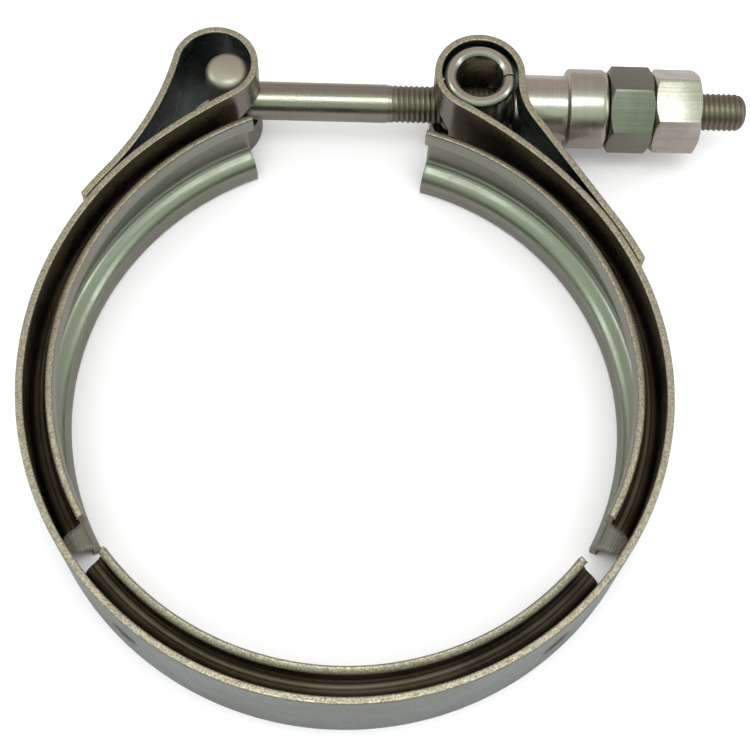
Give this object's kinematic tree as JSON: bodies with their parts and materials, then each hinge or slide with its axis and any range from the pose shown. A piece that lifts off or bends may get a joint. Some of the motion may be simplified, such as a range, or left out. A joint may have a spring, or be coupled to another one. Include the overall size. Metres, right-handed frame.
{
  "type": "v band clamp",
  "caption": "V-band clamp of stainless strap with welded V-groove retainers, closed by a T-bolt through a swivelling trunnion with a sleeve, nut and lock nut.",
  "frame": {"origin": "on the clamp's axis, halfway across the strap's width", "axes": "+Z along the clamp's axis, +X along the T-bolt towards its nuts, +Y from the clamp's axis to the T-bolt"},
  "size_m": [0.1174, 0.1124, 0.02],
  "materials": {
    "strap": "rolled stainless strip, sheared edges",
    "retainers": "roll-formed stainless sheet",
    "t_bolt": "bright drawn bar",
    "trunnion": "turned tube",
    "sleeve": "turned bar",
    "nut": "drawn hexagon bar",
    "lock_nut": "drawn hexagon bar"
  },
  "bodies": {
    "clamp": {"strap": "strap", "retainer_left": "retainers", "retainer_bottom": "retainers", "retainer_right": "retainers"},
    "bolt": {"t_bolt": "t_bolt"},
    "trunnion": {"trunnion": "trunnion"},
    "sleeve": {"sleeve": "sleeve"},
    "nut": {"nut": "nut"},
    "lock_nut": {"lock_nut": "lock_nut"}
  },
  "joints": [
    {"name": "bolt_swing", "type": "hinge", "parent": "clamp", "child": "bolt", "pos_m": [-0.02103, 0.0545, 0], "axis": [0, 0, 1], "range_deg": [-0.8, 0.8]},
    {"name": "trunnion_swing", "type": "hinge", "parent": "clamp", "child": "trunnion", "pos_m": [0.0209, 0.0545, 0], "axis": [0, 0, 1], "range_deg": [-1.5, 1.5]},
    {"name": "sleeve_slide", "type": "slide", "parent": "bolt", "child": "sleeve", "axis": [1, 0, 0], "range_m": [0, 0.00635]},
    {"name": "nut_turn", "type": "hinge", "parent": "sleeve", "child": "nut", "pos_m": [0.0432, 0.0545, 0], "axis": [1, 0, 0], "range_deg": [0, 2520]},
    {"name": "lock_nut_turn", "type": "hinge", "parent": "sleeve", "child": "lock_nut", "pos_m": [0.05075, 0.0545, 0], "axis": [1, 0, 0], "range_deg": [0, 2520]}
  ],
  "couplings": [
    {"joint": "sleeve_slide", "follows": "nut_turn", "m_per_rad": 0.00014438},
    {"joint": "lock_nut_turn", "follows": "nut_turn", "ratio": 1}
  ]
}
